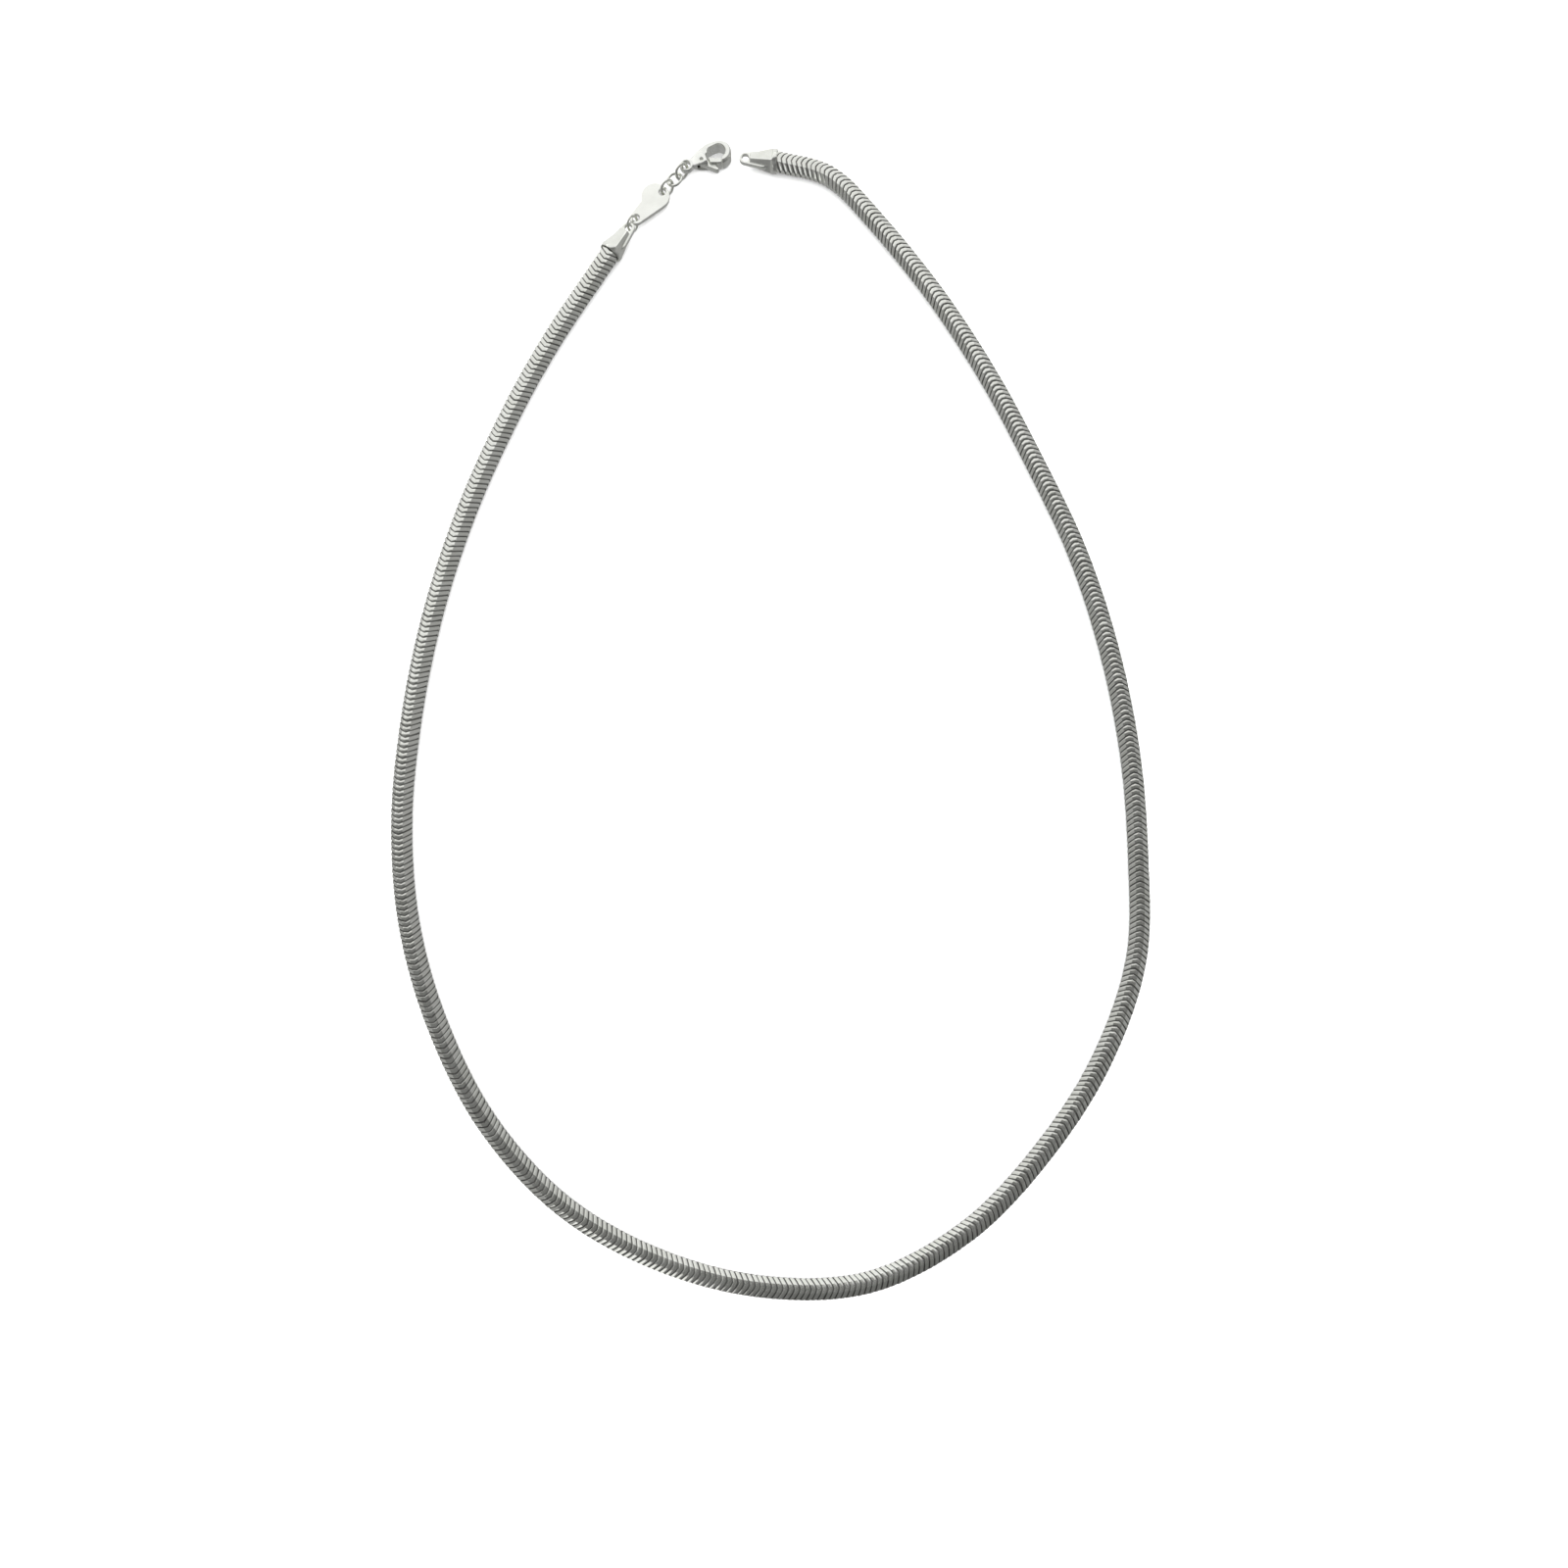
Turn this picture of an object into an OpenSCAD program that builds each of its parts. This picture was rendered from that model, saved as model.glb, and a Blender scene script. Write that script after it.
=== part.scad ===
// Snake chain necklace, laid flat and unclasped.
// All sizes are in millimetres. The chain lies on the plane z = 0, with +Y towards its two ends.

/* [Loop] */
// Width of the loop between the middles of the chain's two sides
loop_width = 112.3; // [90:0.1:150]
// Depth of the loop from the front of the chain to its two ends
loop_depth = 175.6; // [140:0.1:230]

/* [Chain] */
// Width of the chain across its flats
chain_flats = 3.05; // [2.4:0.05:4]

/* [End caps] */
// Room round the chain in the cap's socket
socket_clearance = 0.04; // [0.03:0.01:0.12]
// Wall of the cap at its widest
cap_wall = 0.16; // [0.14:0.01:0.4]
// Wall of the cap at its mouth
cap_lip = 0.1; // [0.08:0.01:0.13]
// Length of the cap without its eye
cap_length = 4.4; // [4:0.1:7]
// Length of the round collar at the mouth, which holds the chain's end
cap_collar = 0.6; // [0.5:0.05:1]
// Length of the steep shoulder of each facet
cap_shoulder = 0.3; // [0.2:0.05:0.6]
// Half width of the cap's square section at the shoulder
cap_square_wide = 1.3; // [1.2:0.02:1.5]
// Half width of the cap's square section at its tip
cap_square_tip = 0.6; // [0.5:0.02:0.8]
// Roll of the caps' ridges towards the inside of the loop
cap_roll = 28; // [0:1:30]
// Outer diameter of a cap's eye
eye_outer_d = 1.95; // [1.95:0.05:3]
// Diameter of the hole in a cap's eye
eye_hole_d = 1.16; // [1.14:0.02:1.2]
// Thickness of a cap's eye
eye_thickness = 0.65; // [0.4:0.05:0.75]
// Width of the flat root of a cap's eye
eye_root_w = 2.8; // [2.2:0.1:3]

/* [Joining ring] */
// Wire diameter of the joining ring
ring_wire_d = 0.38; // [0.3:0.01:0.38]
// Mean diameter of the joining ring
ring_mean_d = 2.3; // [2.1:0.02:3]
// Lean of the joining ring away from upright
ring_lean = 25; // [0:1:28]

/* [Tag] */
// Thickness of the tag
tag_thickness = 0.6; // [0.4:0.05:0.65]
// Diameter of the holes in the tag
tag_hole_d = 1.16; // [1.14:0.02:1.3]
// Radius of the tag's narrow end
tag_narrow_r = 1.1; // [1:0.05:1.2]
// Radius of the tag's round head
tag_head_r = 2.3; // [2:0.05:3]
// Distance from the narrow end's hole to the middle of the head
tag_arm = 4.9; // [4:0.1:7]
// Metal left between the head's hole and its edge
tag_hole_margin = 0.4; // [0.35:0.05:0.6]
// Turn of the head's hole away from the tag's middle line
tag_hole_turn = -18; // [-30:1:0]

/* [Small links] */
// Wire diameter of the small links
link_wire_d = 0.46; // [0.4:0.01:0.46]
// Outer length of a small link
link_length = 2.85; // [2.75:0.05:4]
// Outer width of a small link
link_width = 2.6; // [2.2:0.05:2.6]
// Lean of the upright small links away from upright
link_lean = 25; // [0:1:26]
// Gap between the wires of neighbouring links
link_gap = 0.1; // [0.06:0.01:0.15]

/* [Clasp] */
// Thickness of the clasp
clasp_thickness = 2.4; // [2.3:0.05:3]
// Width of the slanting edge round the clasp
clasp_edge = 0.35; // [0.2:0.05:0.4]
// Thickness of the clasp's eye
clasp_eye_thickness = 0.8; // [0.6:0.05:0.9]
// Outer diameter of the clasp's eye
clasp_eye_outer_d = 2.1; // [2.05:0.05:2.4]
// Diameter of the hole in the clasp's eye
clasp_eye_hole_d = 1.32; // [1.32:0.02:1.4]
// Distance from the clasp's eye to the middle of its round end
clasp_reach = 5.7; // [5.6:0.05:7]
// Radius of the clasp's round end
clasp_nose_r = 1.9; // [1.75:0.05:2.2]
// Radius of the opening inside the round end
clasp_opening_r = 1.2; // [1:0.05:1.3]
// Radius of the clasp's neck
clasp_neck_r = 0.65; // [0.6:0.05:0.8]
// Thickness of the lever where it sits between the cheeks
lever_root_thickness = 0.8; // [0.6:0.05:0.9]
// Thickness of the lever's arm
lever_arm_thickness = 1.9; // [1.2:0.05:2]
// Gap on each side of the lever between the cheeks
lever_side_gap = 0.1; // [0.05:0.01:0.15]
// Gap between the lever's end and the hook's tip
lever_tip_gap = 0.12; // [0.08:0.01:0.2]
// Diameter of the lever's rivet
pin_d = 0.5; // [0.4:0.02:0.56]
// Radial running clearance of the lever on its rivet
pin_clearance = 0.05; // [0.02:0.01:0.08]

/* [Hidden] */

fine = 64;
wire_fine = 24;
arc_steps = 28;

// The chain's route from the clasp end, down the left side, round the bottom and up the right.
// Columns: x and y for a loop of the plan's own size, roll of the links towards the outside of the
// loop, which is negative towards its inside, share of the lift to the cap.
plan_width = 112.3;
plan_depth = 175.6;
plan = [
    [-25.7, 71.2, -10, 1],
    [-35.1, 56.2, -6, 0],
    [-42.4, 41.6, -1, 0],
    [-48.3, 26.6, 1, 0],
    [-52.6, 11.1, 3, 0],
    [-55.2, -4.7, 3, 0],
    [-56.1, -20.7, 0, 0],
    [-54.3, -36.5, -2, 0],
    [-49.3, -51.7, -3, 0],
    [-41.5, -65.6, -7, 0],
    [-30.3, -77.1, -13, 0],
    [-16.4, -84.7, -15, 0],
    [-0.8, -88.6, -15, 0],
    [15, -87.9, -17, 0],
    [29.3, -80.7, -15, 0],
    [40.7, -69.4, -15, 0],
    [49.7, -56.2, -15, 0],
    [55.4, -41.2, -13, 0],
    [56.2, -25.3, -10, 0],
    [55.4, -9.3, -8, 0],
    [52.7, 6.5, -9, 0],
    [48.2, 21.9, -12, 0],
    [41.8, 36.6, -14, 0],
    [34.7, 50.9, -14, 0],
    [26.4, 64.5, -14, 0],
    [16.8, 77.2, -16, 0],
    [9.7, 84.5, -12, 0.3],
    [1.2, 87, -8, 1]
];
// A wider loop spreads over this run below the clasp end, so the two ends keep their places
widen_run = 60;
function spread(y) =
    let (share = min(1, max(0, (plan[0][1] - y) / widen_run)))
    1 + share * (loop_width / plan_width - 1);
route = [for (row = plan)
    [row[0] * spread(row[1]), row[1] * loop_depth / plan_depth, row[2], row[3]]];
steps_per_span = 2;

// Headings in the plane, in degrees from +X
cap_clasp_heading = 55;
cap_free_heading = 175;
ring_heading = 59;
tag_heading = 52;
link_heading = 50;
clasp_heading = 20;

chain_corner_r = chain_flats / 2 / cos(22.5);
socket_r = chain_corner_r + socket_clearance;
cap_mouth_r = socket_r + cap_lip;
cap_r = socket_r + cap_wall;
cap_height = cap_r;
socket_depth = cap_collar - cap_lip;
eye_r = eye_outer_d / 2;
eye_reach = cap_length + eye_hole_d / 2 + 0.2;
ring_r = ring_mean_d / 2;
link_wire_r = link_wire_d / 2;
link_pitch = link_length - link_wire_d;
link_end_r = (link_width - link_wire_d) / 2;
link_step = link_length - 2 * link_wire_d - link_gap;
link_count = 3;
link_run = link_count * link_step + link_gap + link_wire_d;
fitting_height = clasp_thickness / 2;
link_clear = 0.03;
link_height = link_end_r * cos(link_lean) + link_wire_r + link_clear;
tag_height = fitting_height + 0.3;
tag_notch_angle = 148;
tag_hole_reach = tag_head_r - tag_hole_margin - tag_hole_d / 2;
tag_head_hole = [tag_arm + tag_hole_reach * cos(tag_hole_turn), tag_hole_reach * sin(tag_hole_turn)];

function heading(a) = [cos(a), sin(a), 0];
function flat(row) = [row[0], row[1], 0];

// Places of the fittings, one after the other from the chain's first point
cap_clasp_at = flat(route[0]) + [0, 0, cap_height];
cap_eye_at = cap_clasp_at + eye_reach * heading(cap_clasp_heading);
ring_drop = cap_height - tag_height;
ring_run = sqrt(ring_mean_d * ring_mean_d - ring_drop * ring_drop);
tag_at = cap_eye_at + ring_run * heading(ring_heading) - [0, 0, ring_drop];
link_start = flat(tag_at) + tag_head_hole[0] * heading(tag_heading)
    + tag_head_hole[1] * heading(tag_heading + 90) + [0, 0, link_height];
tag_pitch_angle = atan((tag_height - link_height) / tag_head_hole[0]);
clasp_at = flat(link_start) + link_run * heading(link_heading) + [0, 0, fitting_height];
cap_free_at = flat(route[len(route) - 1]) + [0, 0, cap_height];

// Plan of the clasp, with its eye at the origin and its nose along +X. A disc is x, y, radius.
neck_disc = [0.9, 0.1, clasp_neck_r];
nose_disc = [clasp_reach, 0, clasp_nose_r];
back_disc = [clasp_reach - 1.2, 0.1, clasp_nose_r - 0.05];
opening_nose_disc = [clasp_reach - 0.1, 0.05, clasp_opening_r];
opening_back_disc = [clasp_reach - 1.25, 0.35, 0.625 * clasp_opening_r];
pivot_at = [clasp_reach - 3.15, -0.35];
hook_wall = clasp_nose_r - clasp_opening_r;
hook_tip_at = [clasp_reach - 0.15, -clasp_nose_r + hook_wall / 2];
lever_reach = norm(hook_tip_at - pivot_at);
cheek_front_x = pivot_at[0] + 0.75;
slot_back_x = pivot_at[0] - 0.95;
arm_back_x = cheek_front_x + 0.4;
lever_root_disc = [pivot_at[0], pivot_at[1], 0.52];
lever_end_disc = [hook_tip_at[0] - 0.25, hook_tip_at[1] + 0.05, hook_wall / 2];
tab_base_disc = [pivot_at[0] + 0.05, pivot_at[1] - 0.15, 0.36];
tab_tip_disc = [pivot_at[0] + 1.9, pivot_at[1] - 2, 0.3];
tab_front_disc = [pivot_at[0] + 1.5, pivot_at[1] - 0.6, 0.3];
slot_thickness = lever_root_thickness + 2 * lever_side_gap;
cheek_thickness = 0.25;
pivot_thickness = slot_thickness + 2 * cheek_thickness;

// Catmull-Rom spline through the route, taken on column-wise vectors
function before(i) = i == 0 ? 2 * route[0] - route[1] : route[i - 1];
function after(i) = i + 2 > len(route) - 1 ? 2 * route[i + 1] - route[i] : route[i + 2];
function spline(a, b, c, d, t) =
    0.5 * (2 * b + (c - a) * t + (2 * a - 5 * b + 4 * c - d) * t * t
    + (3 * b - a - 3 * c + d) * t * t * t);
function slope(a, b, c, d, t) =
    0.5 * ((c - a) + 2 * (2 * a - 5 * b + 4 * c - d) * t
    + 3 * (3 * b - a - 3 * c + d) * t * t);
function row_at(i, t) = spline(before(i), route[i], route[i + 1], after(i), t);
function slope_at(i, t) = slope(before(i), route[i], route[i + 1], after(i), t);
function angle_of(v) = atan2(v[1], v[0]);

// Height of the chain's middle when a link rolled by this angle rests on the plane
function rest_height(roll) =
    chain_corner_r * max([for (k = [0:7]) -cos(roll + 22.5 + 45 * k)]);
function middle_height(roll, lift) =
    rest_height(roll) + max(0, lift) * (cap_height - rest_height(roll));

// One eight-sided ring of the chain: middle, heading of travel and roll
function ring_points(middle, travel, roll) =
    [for (k = [0:7])
        let (a = roll + 22.5 + 45 * k)
        middle + chain_corner_r * (cos(a) * [0, 0, 1] + sin(a) * heading(travel - 90))];
function route_ring(row, along) =
    ring_points([row[0], row[1], middle_height(row[2], row[3])], angle_of(along), row[2]);

last = len(route) - 2;
chain_inset = socket_depth - socket_clearance;
first_ring = ring_points(cap_clasp_at + chain_inset * heading(cap_clasp_heading),
    cap_clasp_heading + 180, route[0][2]);
last_ring = ring_points(cap_free_at + chain_inset * heading(cap_free_heading),
    cap_free_heading, route[last + 1][2]);
chain_rings = concat(
    [first_ring],
    [for (i = [0:last]) for (s = [0:steps_per_span - 1])
        route_ring(row_at(i, s / steps_per_span), slope_at(i, s / steps_per_span))],
    [route_ring(route[last + 1], slope_at(last, 1))],
    [last_ring]);

// A solid swept through rings of eight points, closed at both ends
module swept(rings) {
    sides = len(rings[0]);
    count = len(rings);
    walls = [for (i = [0:count - 2]) for (k = [0:sides - 1])
        let (a = i * sides + k, b = i * sides + (k + 1) % sides)
        each [[a, b, b + sides], [a, b + sides, a + sides]]];
    ends = [[for (k = [sides - 1:-1:0]) k], [for (k = [0:sides - 1]) (count - 1) * sides + k]];
    polyhedron([for (ring = rings) each ring], concat(walls, ends));
}

// Points along an arc, from one angle to another
function arc(middle, r, from, to) =
    [for (i = [0:arc_steps]) middle + r * point_dir(from + (to - from) * i / arc_steps)];
function point_dir(a) = [cos(a), sin(a)];

// Outline of a belt laid round discs, which are listed counter-clockwise
function belt_normal(a, b) =
    let (gap = [b[0] - a[0], b[1] - a[1]])
    angle_of(gap) - 90 + asin((a[2] - b[2]) / norm(gap));
function belt_arc(previous, disc, next) =
    let (from = belt_normal(previous, disc), turn = belt_normal(disc, next) - from)
    arc([disc[0], disc[1]], disc[2], from, from + turn + (turn < 0 ? 360 : 0));
function belt_outline(discs) =
    let (count = len(discs))
    [for (i = [0:count - 1])
        each belt_arc(discs[(i + count - 1) % count], discs[i], discs[(i + 1) % count])];
function shrunk(discs, by) = [for (disc = discs) [disc[0], disc[1], disc[2] - by]];

module belt_plan(discs) {
    polygon(belt_outline(discs));
}

module upright(thickness) {
    translate([0, 0, -thickness / 2]) linear_extrude(thickness) children();
}

module snake_chain() {
    color("silver") swept(chain_rings);
}

// The cap, with its mouth at the origin and its eye along +X, rolled towards its side
module end_cap(roll) {
    shoulder_end = cap_collar + cap_shoulder;
    facet_top = cap_r + 1;
    root_disc = [shoulder_end + eye_root_w / 2, 0, eye_root_w / 2];
    difference() {
        union() {
            difference() {
                rotate([0, 90, 0]) rotate_extrude($fn = fine) polygon([
                    [0, 0], [cap_mouth_r, 0], [cap_r, cap_collar / 2],
                    [cap_r, shoulder_end], [cap_square_tip * 1.5, cap_length], [0, cap_length]]);
                for (side = [0:3]) rotate([45 + roll + 90 * side, 0, 0])
                    rotate([90, 0, 0]) translate([0, 0, -facet_top])
                        linear_extrude(2 * facet_top) polygon([
                            [cap_collar, cap_r], [shoulder_end, cap_square_wide],
                            [cap_length + 1, cap_square_tip], [cap_length + 1, facet_top],
                            [cap_collar, facet_top]]);
            }
            upright(eye_thickness) belt_plan([root_disc, [eye_reach, 0, eye_r]]);
        }
        rotate([0, 90, 0]) translate([0, 0, -1])
            cylinder(socket_depth + 1, socket_r, socket_r, $fn = fine);
        translate([eye_reach, 0, -cap_r])
            cylinder(2 * cap_r, eye_hole_d / 2, eye_hole_d / 2, $fn = fine);
    }
}

module end_cap_clasp() {
    color("silver") translate(cap_clasp_at) rotate(cap_clasp_heading) end_cap(cap_roll);
}

module end_cap_free() {
    color("silver") translate(cap_free_at) rotate(cap_free_heading) end_cap(-cap_roll);
}

module joining_ring() {
    dip = asin(ring_drop / ring_mean_d);
    color("silver") translate((cap_eye_at + tag_at) / 2) rotate(ring_heading)
        rotate([0, dip, 0]) rotate([90 - ring_lean, 0, 0])
            rotate_extrude($fn = fine) translate([ring_r, 0])
                circle(ring_wire_d / 2, $fn = wire_fine);
}

// The tag, with its narrow end's hole at the origin and its head along +X
module tag() {
    head = [tag_arm, 0];
    touch = 90 - asin((tag_narrow_r - tag_head_r) / tag_arm);
    color("silver") translate(tag_at) rotate(tag_heading) rotate([0, tag_pitch_angle, 0])
        difference() {
            upright(tag_thickness) polygon(concat(
                arc(head, tag_head_r, -touch, tag_notch_angle),
                arc([0, 0], tag_narrow_r, 90, 360 - touch)));
            for (hole = [[0, 0], tag_head_hole]) translate([hole[0], hole[1], -tag_thickness])
                cylinder(2 * tag_thickness, tag_hole_d / 2, tag_hole_d / 2, $fn = fine);
        }
}

// One oval link along +X, from the middle of its near end's wire
module small_link(number, turn) {
    straight = link_pitch - 2 * link_end_r;
    color("silver") translate(link_start + (number - 1) * link_step * heading(link_heading))
        rotate(link_heading) rotate([turn, 0, 0]) translate([link_end_r, 0, 0]) {
            for (end = [0, 1]) translate([end * straight, 0, 0]) rotate(90 - 180 * end)
                rotate_extrude(angle = 180, $fn = fine)
                    translate([link_end_r, 0]) circle(link_wire_r, $fn = wire_fine);
            for (side = [-1, 1]) translate([0, side * link_end_r, 0]) rotate([0, 90, 0])
                cylinder(straight, link_wire_r, link_wire_r, $fn = wire_fine);
        }
}

module small_link_1() {
    small_link(1, 90 - link_lean);
}

module small_link_2() {
    small_link(2, -link_lean / 2);
}

module small_link_3() {
    small_link(3, 90 - link_lean);
}

// Side view of the clasp body, which grows from the eye to the cheeks
module clasp_side() {
    half = clasp_thickness / 2;
    eye_half = clasp_eye_thickness / 2;
    back = -clasp_eye_outer_d;
    front = clasp_reach + 2 * clasp_nose_r;
    pivot_back = pivot_at[0] - 0.75;
    polygon([
        [back, -eye_half], [clasp_eye_outer_d / 2, -eye_half], [pivot_back, -pivot_thickness / 2],
        [cheek_front_x, -half], [front, -half], [front, half], [cheek_front_x, half],
        [pivot_back, pivot_thickness / 2], [clasp_eye_outer_d / 2, eye_half], [back, eye_half]]);
}

// The clasp's outline, full in the middle, with a slanting edge above and below
module clasp_slab() {
    discs = [neck_disc, nose_disc, back_disc];
    hull() {
        upright(clasp_thickness - 2 * clasp_edge) belt_plan(discs);
        upright(clasp_thickness) belt_plan(shrunk(discs, clasp_edge));
    }
}

module at_clasp() {
    translate(clasp_at) rotate(clasp_heading) children();
}

module pivot_bore(r) {
    translate([pivot_at[0], pivot_at[1], -clasp_thickness])
        cylinder(2 * clasp_thickness, r, r, $fn = fine);
}

module clasp_body() {
    deep = clasp_nose_r + 1;
    front = clasp_reach + clasp_nose_r;
    gate_r = lever_reach + lever_tip_gap;
    color("silver") at_clasp() difference() {
        intersection() {
            union() {
                upright(clasp_thickness) circle(clasp_eye_outer_d / 2, $fn = fine);
                clasp_slab();
            }
            rotate([90, 0, 0]) upright(2 * deep) clasp_side();
        }
        upright(2 * clasp_thickness) {
            circle(clasp_eye_hole_d / 2, $fn = fine);
            belt_plan([opening_back_disc, opening_nose_disc]);
            intersection() {
                translate(pivot_at) circle(gate_r, $fn = fine);
                polygon([[cheek_front_x, -deep], [cheek_front_x, 0.25],
                    [opening_back_disc[0], opening_back_disc[1]], [front, 0], [front, -deep]]);
            }
        }
        upright(slot_thickness) intersection() {
            translate(pivot_at) circle(gate_r, $fn = fine);
            polygon([
                [slot_back_x, -deep], [slot_back_x, -0.1], [slot_back_x + 0.5, 0.3],
                [opening_back_disc[0], opening_back_disc[1]], [front, 0], [front, -deep]]);
        }
        pivot_bore(pin_d / 2 + 0.01);
    }
}

module clasp_lever() {
    arm_discs = [lever_root_disc, lever_end_disc];
    color("silver") at_clasp() difference() {
        intersection() {
            union() {
                upright(lever_root_thickness) {
                    belt_plan(arm_discs);
                    belt_plan([tab_base_disc, tab_tip_disc, tab_front_disc]);
                }
                upright(lever_arm_thickness) intersection() {
                    belt_plan(arm_discs);
                    translate([arm_back_x, -2 * clasp_nose_r]) square([clasp_reach, 4 * clasp_nose_r]);
                }
            }
            translate(pivot_at) upright(clasp_thickness) circle(lever_reach, $fn = fine);
        }
        pivot_bore(pin_d / 2 + pin_clearance);
    }
}

module clasp_pin() {
    color("silver") at_clasp() translate([pivot_at[0], pivot_at[1], -pivot_thickness / 2])
        cylinder(pivot_thickness, pin_d / 2, pin_d / 2, $fn = fine);
}

snake_chain();
end_cap_clasp();
end_cap_free();
joining_ring();
tag();
small_link_1();
small_link_2();
small_link_3();
clasp_body();
clasp_lever();
clasp_pin();
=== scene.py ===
import math
import random

import bmesh
import bpy
from mathutils import Matrix, Vector


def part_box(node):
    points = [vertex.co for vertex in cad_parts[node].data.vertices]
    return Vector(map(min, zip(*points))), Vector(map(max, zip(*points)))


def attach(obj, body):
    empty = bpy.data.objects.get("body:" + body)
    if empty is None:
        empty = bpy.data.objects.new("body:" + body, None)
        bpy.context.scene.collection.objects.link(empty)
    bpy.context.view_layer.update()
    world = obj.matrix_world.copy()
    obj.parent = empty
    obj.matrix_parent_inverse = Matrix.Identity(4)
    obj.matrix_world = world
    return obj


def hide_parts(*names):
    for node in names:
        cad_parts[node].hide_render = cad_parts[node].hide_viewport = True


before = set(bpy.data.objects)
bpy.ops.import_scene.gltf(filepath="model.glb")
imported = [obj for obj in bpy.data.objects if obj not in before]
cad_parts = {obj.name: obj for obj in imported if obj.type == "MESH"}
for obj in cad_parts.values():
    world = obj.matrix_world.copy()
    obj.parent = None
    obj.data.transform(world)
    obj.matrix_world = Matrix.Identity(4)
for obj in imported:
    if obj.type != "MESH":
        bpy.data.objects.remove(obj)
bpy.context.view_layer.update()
MM = 0.001

# The chain's route

CHAIN_FLATS = 3.05 * MM
FACETS = 8
FACET_TURN = 360 / FACETS
CORNER_R = CHAIN_FLATS / 2 / math.cos(math.radians(FACET_TURN / 2))
# How far the caps hold the chain's ends off the surface
CAP_LIFT = 0.2 * MM
# Points worked out from each row of the route to the next
POINTS_PER_SPAN = 40
# The route's rows: x, y in mm, roll of the links towards the loop's outside, share of the lift to the cap
ROUTE = [
    (-25.7, 71.2, -10, 1), (-35.1, 56.2, -6, 0), (-42.4, 41.6, -1, 0), (-48.3, 26.6, 1, 0),
    (-52.6, 11.1, 3, 0), (-55.2, -4.7, 3, 0), (-56.1, -20.7, 0, 0), (-54.3, -36.5, -2, 0),
    (-49.3, -51.7, -3, 0), (-41.5, -65.6, -7, 0), (-30.3, -77.1, -13, 0), (-16.4, -84.7, -15, 0),
    (-0.8, -88.6, -15, 0), (15, -87.9, -17, 0), (29.3, -80.7, -15, 0), (40.7, -69.4, -15, 0),
    (49.7, -56.2, -15, 0), (55.4, -41.2, -13, 0), (56.2, -25.3, -10, 0), (55.4, -9.3, -8, 0),
    (52.7, 6.5, -9, 0), (48.2, 21.9, -12, 0), (41.8, 36.6, -14, 0), (34.7, 50.9, -14, 0),
    (26.4, 64.5, -14, 0), (16.8, 77.2, -16, 0), (9.7, 84.5, -12, 0.3), (1.2, 87, -8, 1)]


def route_row(i, t):
    """A row at share t of the way from row i to the next, on a smooth curve through all the rows."""
    rows = [Vector(row) for row in ROUTE]
    b, c = rows[i], rows[i + 1]
    a = rows[i - 1] if i else 2 * b - c
    d = rows[i + 2] if i + 2 < len(rows) else 2 * c - b
    return 0.5 * (2 * b + (c - a) * t + (2 * a - 5 * b + 4 * c - d) * t * t
                  + (3 * b - a - 3 * c + d) * t * t * t)


def rest_height(roll):
    """Height of the chain's middle when it rests on the surface with this roll."""
    return CORNER_R * max(-math.cos(math.radians(roll + FACET_TURN * (k + 0.5))) for k in range(FACETS))


def route_points():
    """Points along the chain: middle, roll in degrees and distance from the first cap's mouth."""
    rows = [route_row(i, s / POINTS_PER_SPAN) for i in range(len(ROUTE) - 1) for s in range(POINTS_PER_SPAN)]
    rows.append(Vector(ROUTE[-1]))
    points, run = [], 0
    for row in rows:
        low = rest_height(row[2])
        lift = max(0, row[3]) * (CORNER_R + CAP_LIFT - low)
        middle = Vector((row[0] * MM, row[1] * MM, low + lift))
        if points:
            run += (middle - points[-1][0]).length
        points.append((middle, row[2], run))
    return points


def along(points, distance):
    """Middle, direction and roll of the chain at a distance along it."""
    for (a, roll_a, from_), (b, roll_b, to) in zip(points, points[1:]):
        if distance <= to:
            share = (distance - from_) / (to - from_)
            return a.lerp(b, share), (b - a).normalized(), roll_a + (roll_b - roll_a) * share


# Helpers for the pieces


def nothing_selected():
    if bpy.context.object and bpy.context.object.mode != "OBJECT":
        bpy.ops.object.mode_set(mode="OBJECT")
    bpy.ops.object.select_all(action="DESELECT")


def on_top(o):
    nothing_selected()
    o.select_set(True)
    bpy.context.view_layer.objects.active = o


def kept_inside(mesh, node):
    """Hold a mesh inside its CAD node's box."""
    low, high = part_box(node)
    for v in mesh.vertices:
        v.co = [min(max(v.co[k], low[k]), high[k]) for k in range(3)]


# One link: an eight-sided band with a wave in it, and a collar that reaches under its neighbour

LINK_PITCH = 0.825 * MM
BAND_HALF = 0.36
# Rings of the link's section: share of the corner radius, place along the chain in pitches
SECTION = [(0.85, -0.75), (0.86, -BAND_HALF - 0.05), (0.945, -BAND_HALF), (0.975, 0),
           (0.945, BAND_HALF), (0.85, BAND_HALF)]
# Each ring has a point at every corner and at every facet's middle
RING_POINTS = 2 * FACETS
# Share of the ring's radius that a facet's middle keeps, which leaves the facet slightly full
FACET_MIDDLE = 0.947
# How far ahead the wave reaches, and its share of that at each ring point from the top facet's middle
WAVE = 0.52 * MM
WAVE_STEPS = [1, 0.55, 0, -0.55, -1, -0.55, 0, 0.55]
# Faces whose points lie nearer to the chain's middle than this on average are the collar, which gets a
# darker silver: painted shade in the gaps between the links
COLLAR_REACH = 0.9 * CORNER_R
BAND, COLLAR = 0, 1
# How far the first and the last link reach into their caps
INTO_CAP = 0.45 * MM
# How unevenly the links sit, in degrees
LINK_TILT = 0.9
# Edges that turn more than this, in degrees, stay sharp
SHARP_EDGE = 28


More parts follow.
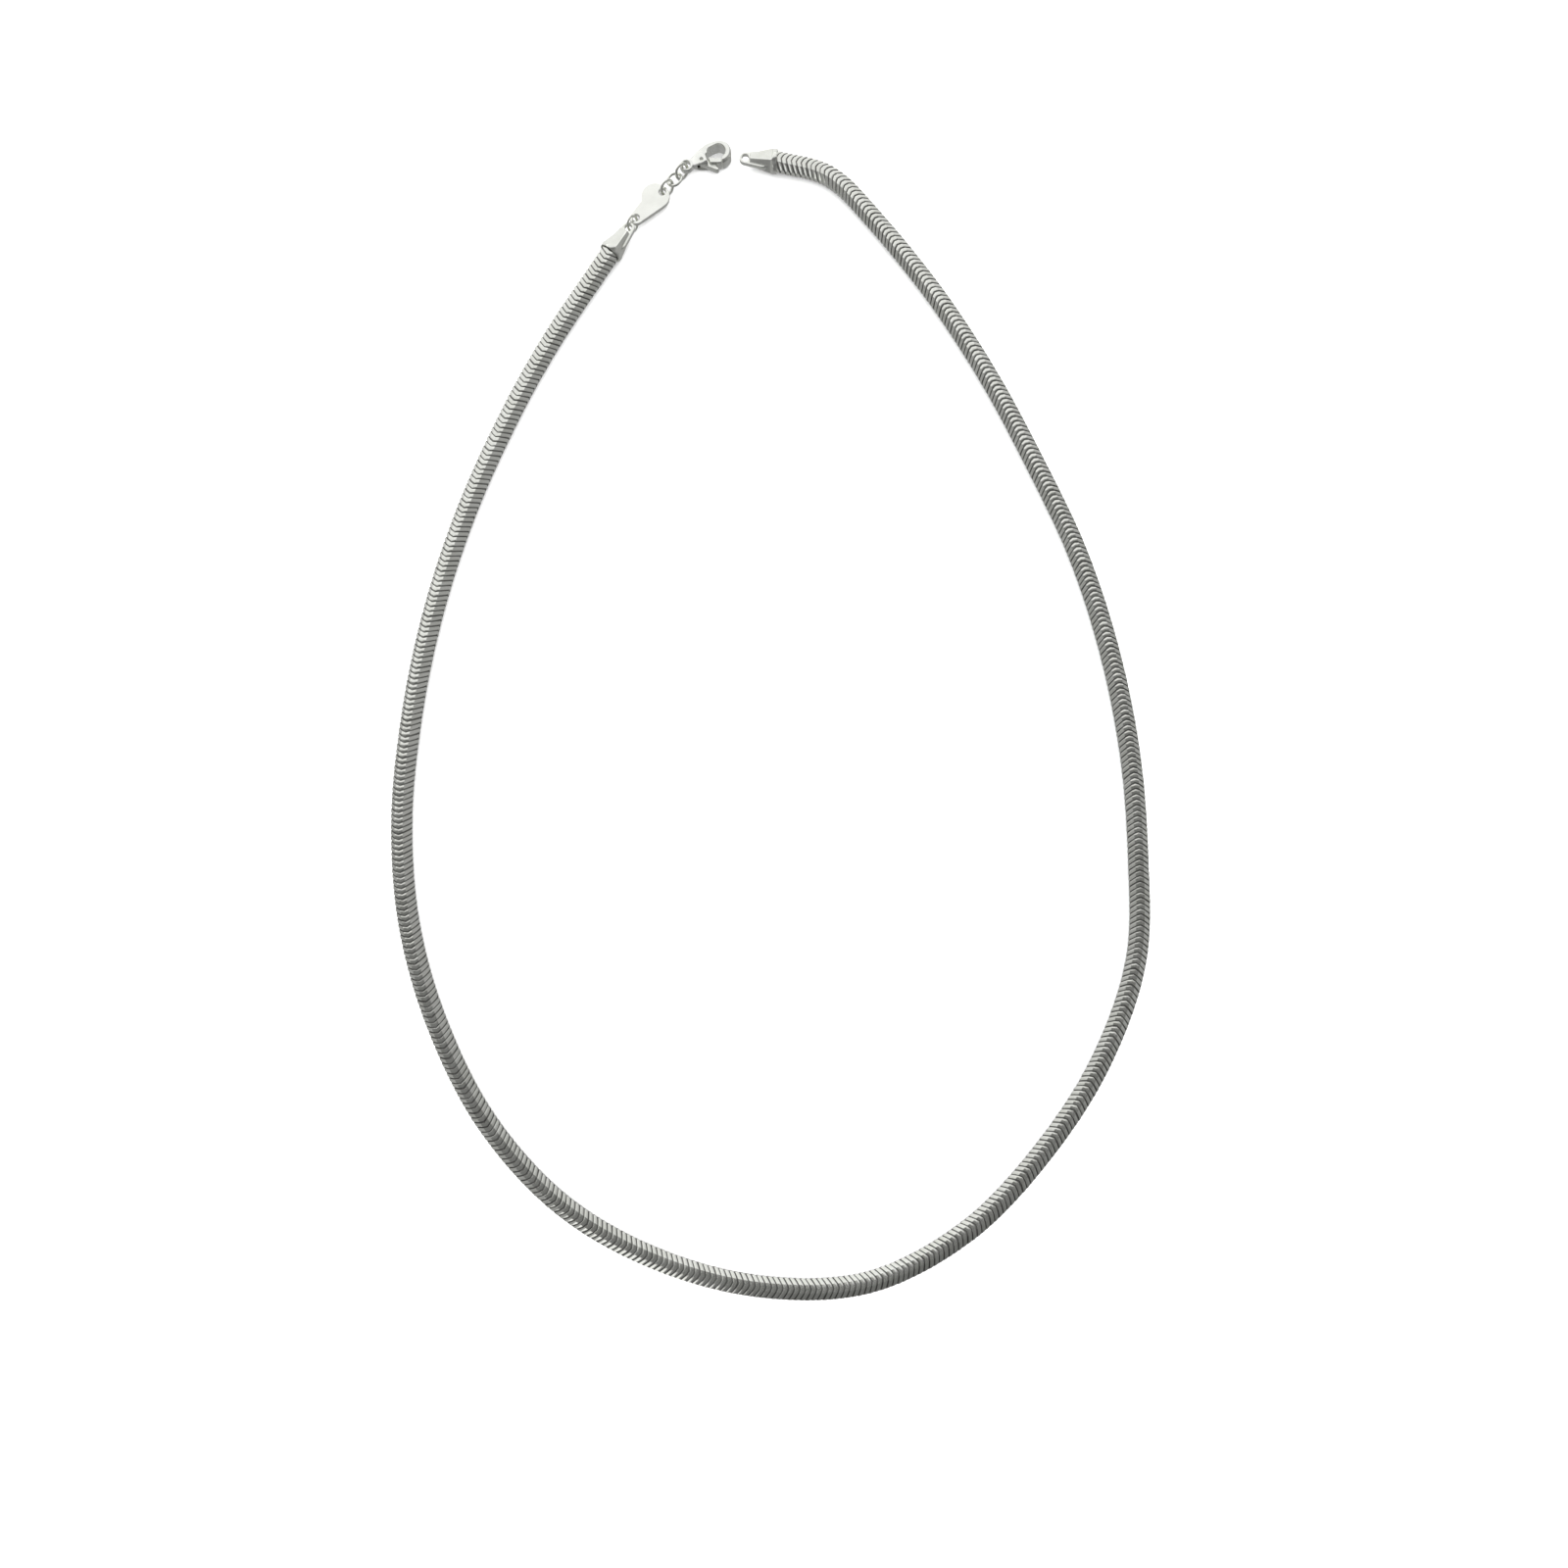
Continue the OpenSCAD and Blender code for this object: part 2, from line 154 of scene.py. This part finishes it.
def wavy_link():
    nothing_selected()
    first = SECTION[0]
    bpy.ops.mesh.primitive_circle_add(vertices=RING_POINTS, radius=CORNER_R * first[0], fill_type="NOTHING",
                                      location=(0, 0, LINK_PITCH * first[1]))
    link = bpy.context.object
    bpy.ops.object.mode_set(mode="EDIT")
    bpy.ops.mesh.select_all(action="SELECT")
    for (r, z), (next_r, next_z) in zip(SECTION, SECTION[1:]):
        bpy.ops.mesh.extrude_edges_move(
            TRANSFORM_OT_translate={"value": (0, 0, LINK_PITCH * (next_z - z))})
        bpy.ops.transform.resize(value=(next_r / r, next_r / r, 1))
    bpy.ops.mesh.select_non_manifold()
    bpy.ops.mesh.bridge_edge_loops()
    bpy.ops.mesh.select_all(action="SELECT")
    bpy.ops.mesh.normals_make_consistent(inside=False)
    bpy.ops.object.mode_set(mode="OBJECT")
    bpy.ops.object.transform_apply(location=True, rotation=True, scale=True)
    for v in link.data.vertices:
        step = round(math.degrees(math.atan2(v.co.x, v.co.y)) / (FACET_TURN / 2)) % RING_POINTS
        if step % 2 == 0:
            v.co.x *= FACET_MIDDLE
            v.co.y *= FACET_MIDDLE
        v.co.z += WAVE * WAVE_STEPS[step % len(WAVE_STEPS)]
    for face in link.data.polygons:
        reach = sum(link.data.vertices[k].co.xy.length for k in face.vertices) / len(face.vertices)
        face.material_index = BAND if reach > COLLAR_REACH else COLLAR
    return link


def chain_of(link, points):
    """All the links along the route, each a copy of the first, joined in one piece."""
    whole = bmesh.new()
    length = points[-1][2]
    count = round(length / LINK_PITCH)
    pitch = length / count
    shake = random.Random(7)
    for n in range(count + 1):
        middle, ahead, roll = along(points, min(n * pitch, length))
        side = ahead.cross(Vector((0, 0, 1))).normalized()
        up = side.cross(ahead)
        turn = Matrix((side, up, ahead)).transposed()
        tilt = Matrix.Rotation(math.radians(shake.gauss(0, LINK_TILT)), 3, "X") \
            @ Matrix.Rotation(math.radians(shake.gauss(0, LINK_TILT)), 3, "Y")
        place = turn @ Matrix.Rotation(-math.radians(roll), 3, "Z") @ tilt
        copy = link.data.copy()
        for v in copy.vertices:
            if n == 0:
                v.co.z = max(v.co.z, -INTO_CAP)
            if n == count:
                v.co.z = min(v.co.z, INTO_CAP)
        copy.transform(Matrix.Translation(middle) @ place.to_4x4())
        whole.from_mesh(copy)
        bpy.data.meshes.remove(copy)
    mesh = bpy.data.meshes.new("snake_links")
    whole.to_mesh(mesh)
    whole.free()
    kept_inside(mesh, "snake_chain")
    links = bpy.data.objects.new("snake_links", mesh)
    bpy.context.collection.objects.link(links)
    bpy.data.objects.remove(link)
    return links


# Finishes

# Size of the duller patches, and the share of the noise at which they are fully dull and fully bright
PATCH = 3 * MM
DULL_AT, BRIGHT_AT = 0.35, 0.6
# Roughness in the grain's smoothest and roughest spots, as a share of the finish's own
SMOOTHEST, ROUGHEST = 0.8, 1.25
# Depth of the polishing marks
RELIEF = 0.01 * MM


def material(name):
    m = bpy.data.materials.new(name)
    m.use_nodes = True
    nodes = m.node_tree.nodes
    return m, nodes, m.node_tree.links.new, nodes["Principled BSDF"]


def grey(tone):
    return (tone, tone, tone, 1)


def tone_ramp(nodes, stops):
    """A ramp with these stops, each its place and its colour."""
    ramp = nodes.new("ShaderNodeValToRGB")
    for end, (place, colour) in zip([*ramp.color_ramp.elements], (stops[0], stops[-1])):
        end.position = place
        end.color = colour
    for place, colour in stops[1:-1]:
        ramp.color_ramp.elements.new(place).color = colour
    return ramp


def noise(nodes, join, size, detail):
    """Noise on the piece's own coordinates, with spots of about this size."""
    place = nodes.new("ShaderNodeTexCoord")
    spots = nodes.new("ShaderNodeTexNoise")
    spots.inputs["Scale"].default_value = 1 / size
    spots.inputs["Detail"].default_value = detail
    join(place.outputs["Object"], spots.inputs["Vector"])
    return spots


def polished_silver(name, light, dark, roughness, grain_mm, bump):
    """Bright silver with fine polishing marks and a little dullness in patches."""
    m, nodes, join, shader = material(name)
    patches = noise(nodes, join, PATCH, 3)
    tone = tone_ramp(nodes, [(DULL_AT, (*dark, 1)), (BRIGHT_AT, (*light, 1))])
    join(patches.outputs["Fac"], tone.inputs["Fac"])
    join(tone.outputs["Color"], shader.inputs["Base Color"])
    grain = noise(nodes, join, grain_mm * MM, 4)
    gloss = nodes.new("ShaderNodeMapRange")
    gloss.inputs["To Min"].default_value = roughness * SMOOTHEST
    gloss.inputs["To Max"].default_value = roughness * ROUGHEST
    join(grain.outputs["Fac"], gloss.inputs["Value"])
    join(gloss.outputs["Result"], shader.inputs["Roughness"])
    relief = nodes.new("ShaderNodeBump")
    relief.inputs["Strength"].default_value = bump
    relief.inputs["Distance"].default_value = RELIEF
    join(grain.outputs["Fac"], relief.inputs["Height"])
    join(relief.outputs["Normal"], shader.inputs["Normal"])
    shader.inputs["Metallic"].default_value = 1
    return m


# Each silver: bright tone, dull tone, roughness, size of its marks in mm, and how strongly they stand out
link_silver = polished_silver("link_silver", (0.9, 0.91, 0.86), (0.84, 0.85, 0.79), 0.18, 0.25, 0.3)
# The gap silver is darkened to paint the shade that falls in the gaps between the links
gap_shade_silver = polished_silver("gap_shade_silver", (0.32, 0.32, 0.3), (0.2, 0.2, 0.19), 0.4, 0.2, 0.4)
cap_silver = polished_silver("cap_silver", (0.9, 0.91, 0.86), (0.84, 0.85, 0.79), 0.16, 0.3, 0.25)
tag_silver = polished_silver("tag_silver", (0.92, 0.93, 0.88), (0.87, 0.88, 0.83), 0.24, 0.15, 0.4)
clasp_silver = polished_silver("clasp_silver", (0.92, 0.93, 0.89), (0.86, 0.87, 0.82), 0.22, 0.25, 0.35)

links = chain_of(wavy_link(), route_points())
links.data.materials.append(link_silver)
links.data.materials.append(gap_shade_silver)
on_top(links)
bpy.ops.object.shade_smooth_by_angle(angle=math.radians(SHARP_EDGE))
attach(links, "necklace")
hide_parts("snake_chain")

# Caps, tag and clasp

# Points nearer than this are one point
MERGE_MM = 0.0005
# Size of the grain that a piece is rebuilt in, and the share of its faces that are kept
GRAIN_MM = 0.06
KEEP = 0.35
# How far each pass moves a point towards the middle of its neighbours
WEAR = 0.5


def tumbled(node, body, finish, passes, swell_mm=0):
    """A copy of a CAD node with its edges worn round, as tumbling in the polishing drum leaves them."""
    nothing_selected()
    piece = bpy.data.objects.new(node + "_polished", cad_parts[node].data.copy())
    bpy.context.collection.objects.link(piece)
    on_top(piece)
    piece.data.transform(Matrix.Scale(1 / MM, 4))
    bpy.ops.object.mode_set(mode="EDIT")
    bpy.ops.mesh.select_all(action="SELECT")
    bpy.ops.mesh.remove_doubles(threshold=MERGE_MM)
    bpy.ops.object.mode_set(mode="OBJECT")
    skin = piece.modifiers.new("skin", "REMESH")
    skin.mode = "VOXEL"
    skin.voxel_size = GRAIN_MM
    worn = piece.modifiers.new("worn", "SMOOTH")
    worn.factor = WEAR
    worn.iterations = passes
    if swell_mm:
        full = piece.modifiers.new("full", "DISPLACE")
        full.strength = swell_mm
        full.mid_level = 0
    thin = piece.modifiers.new("thin", "DECIMATE")
    thin.ratio = KEEP
    for step in [modifier.name for modifier in piece.modifiers]:
        bpy.ops.object.modifier_apply(modifier=step)
    piece.data.transform(Matrix.Scale(MM, 4))
    kept_inside(piece.data, node)
    piece.data.materials.clear()
    piece.data.materials.append(finish)
    bpy.ops.object.shade_smooth()
    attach(piece, body)
    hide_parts(node)


tumbled("clasp_body", "necklace", clasp_silver, passes=45, swell_mm=0.08)
tumbled("clasp_lever", "lever", clasp_silver, passes=30, swell_mm=0.05)
tumbled("tag", "necklace", tag_silver, passes=4)
tumbled("end_cap_clasp", "necklace", cap_silver, passes=14, swell_mm=0.03)
tumbled("end_cap_free", "necklace", cap_silver, passes=14, swell_mm=0.03)
for node in ("joining_ring", "small_link_1", "small_link_2", "small_link_3", "clasp_pin"):
    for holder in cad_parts[node].material_slots:
        holder.material = cap_silver

# Floor and lamps

FLOOR_SIZE = 4
FLOOR_TONE = 0.93
# The floor lies this far under the part, so that the two don't share a plane
FLOOR_GAP = 0.00001
# The back lamp's front edge runs at this angle across the loop, in degrees
BACK_LIGHT_TURN = 14


def paper_floor():
    nothing_selected()
    bpy.ops.mesh.primitive_plane_add(size=FLOOR_SIZE, location=(0, 0, -FLOOR_GAP))
    floor = bpy.context.object
    floor.name = "floor"
    paper, _, _, shader = material("floor")
    shader.inputs["Base Color"].default_value = grey(FLOOR_TONE)
    shader.inputs["Roughness"].default_value = 0.9
    shader.inputs["Specular IOR Level"].default_value = 0.1
    floor.data.materials.append(paper)
    return floor


def soft_light(name, place, aim, width, depth, watts):
    """A lamp with a broad face, turned towards the point it aims at."""
    lamp = bpy.data.lights.new(name, "AREA")
    lamp.shape = "RECTANGLE"
    lamp.size, lamp.size_y = width, depth
    lamp.energy = watts
    o = bpy.data.objects.new(name, lamp)
    bpy.context.collection.objects.link(o)
    o.location = place
    o.rotation_euler = (Vector(aim) - Vector(place)).to_track_quat("-Z", "Y").to_euler()
    o.visible_camera = False
    return o


# The silver mirrors the studio and not the floor, so that its lower faces stand out from it
floor = paper_floor()
floor.visible_glossy = False
# The lamp that lights the floor, which the silver doesn't mirror either
paper_light = soft_light("paper_light", (0, 0, 0.6), (0, 0, 0), 1.6, 1.6, 20)
paper_light.visible_glossy = False
# The broad lamp over the back, which the upper faces of the chain's back half mirror
back_light = soft_light("back_light", (-0.073, 0.401, 0.5), (-0.073, 0.401, 0), 1.4, 0.6, 1.8)
back_light.rotation_euler = (0, 0, math.radians(BACK_LIGHT_TURN))
# The small lamp low in front, which the outer faces at the loop's front left mirror
soft_light("front_light", (-0.37, -0.86, 0.17), (-0.03, -0.08, 0), 0.24, 0.3, 0.2)

# The studio round it: a bright wall at the back, darker towards the front and overhead

# Which way the bright wall lies, and the walls' tones from the front, 0, to there, 1
BRIGHT_WALL = (-0.25, 0.97, 0)
WALLS = [(0, 0.14), (0.1, 0.19), (0.165, 0.27), (0.3, 0.36), (0.45, 0.36), (0.6, 0.33), (0.69, 0.42),
         (0.78, 0.57), (0.86, 0.72), (0.93, 0.88), (1, 0.97)]
# The ceiling's tone, and how steeply up the walls end and the ceiling begins
CEILING = 0.17
WALLS_END, CEILING_FROM = 0.6, 0.9

world = bpy.data.worlds.new("studio")
bpy.context.scene.world = world
world.use_nodes = True
nodes, join = world.node_tree.nodes, world.node_tree.links.new
bearing = nodes.new("ShaderNodeTexCoord")
towards_back = nodes.new("ShaderNodeVectorMath")
towards_back.operation = "DOT_PRODUCT"
towards_back.inputs[1].default_value = BRIGHT_WALL
join(bearing.outputs["Generated"], towards_back.inputs[0])
front_to_back = nodes.new("ShaderNodeMapRange")
front_to_back.inputs["From Min"].default_value = -1
join(towards_back.outputs["Value"], front_to_back.inputs["Value"])
walls = tone_ramp(nodes, [(place, grey(tone)) for place, tone in WALLS])
join(front_to_back.outputs["Result"], walls.inputs["Fac"])
parts = nodes.new("ShaderNodeSeparateXYZ")
join(bearing.outputs["Generated"], parts.inputs["Vector"])
overhead = nodes.new("ShaderNodeMapRange")
overhead.inputs["From Min"].default_value = WALLS_END
overhead.inputs["From Max"].default_value = CEILING_FROM
join(parts.outputs["Z"], overhead.inputs["Value"])
room = nodes.new("ShaderNodeMixRGB")
room.inputs["Color2"].default_value = grey(CEILING)
join(overhead.outputs["Result"], room.inputs["Fac"])
join(walls.outputs["Color"], room.inputs["Color1"])
join(room.outputs["Color"], nodes["Background"].inputs["Color"])
bpy.context.scene.view_settings.view_transform = "Standard"

# Camera, which looks almost straight down, as the photo's does

CAMERA_PLACE = (0.0023, -0.0337, 0.1808)
# Degrees from straight down, towards the back
CAMERA_TILT = 6.107
lens = bpy.data.cameras.new("camera")
lens.lens = 27
lens.sensor_width = 36
lens.clip_start = 0.01
camera = bpy.data.objects.new("camera", lens)
bpy.context.collection.objects.link(camera)
camera.location = CAMERA_PLACE
camera.rotation_euler = (math.radians(CAMERA_TILT), 0, 0)
bpy.context.scene.camera = camera

bpy.context.view_layer.update()
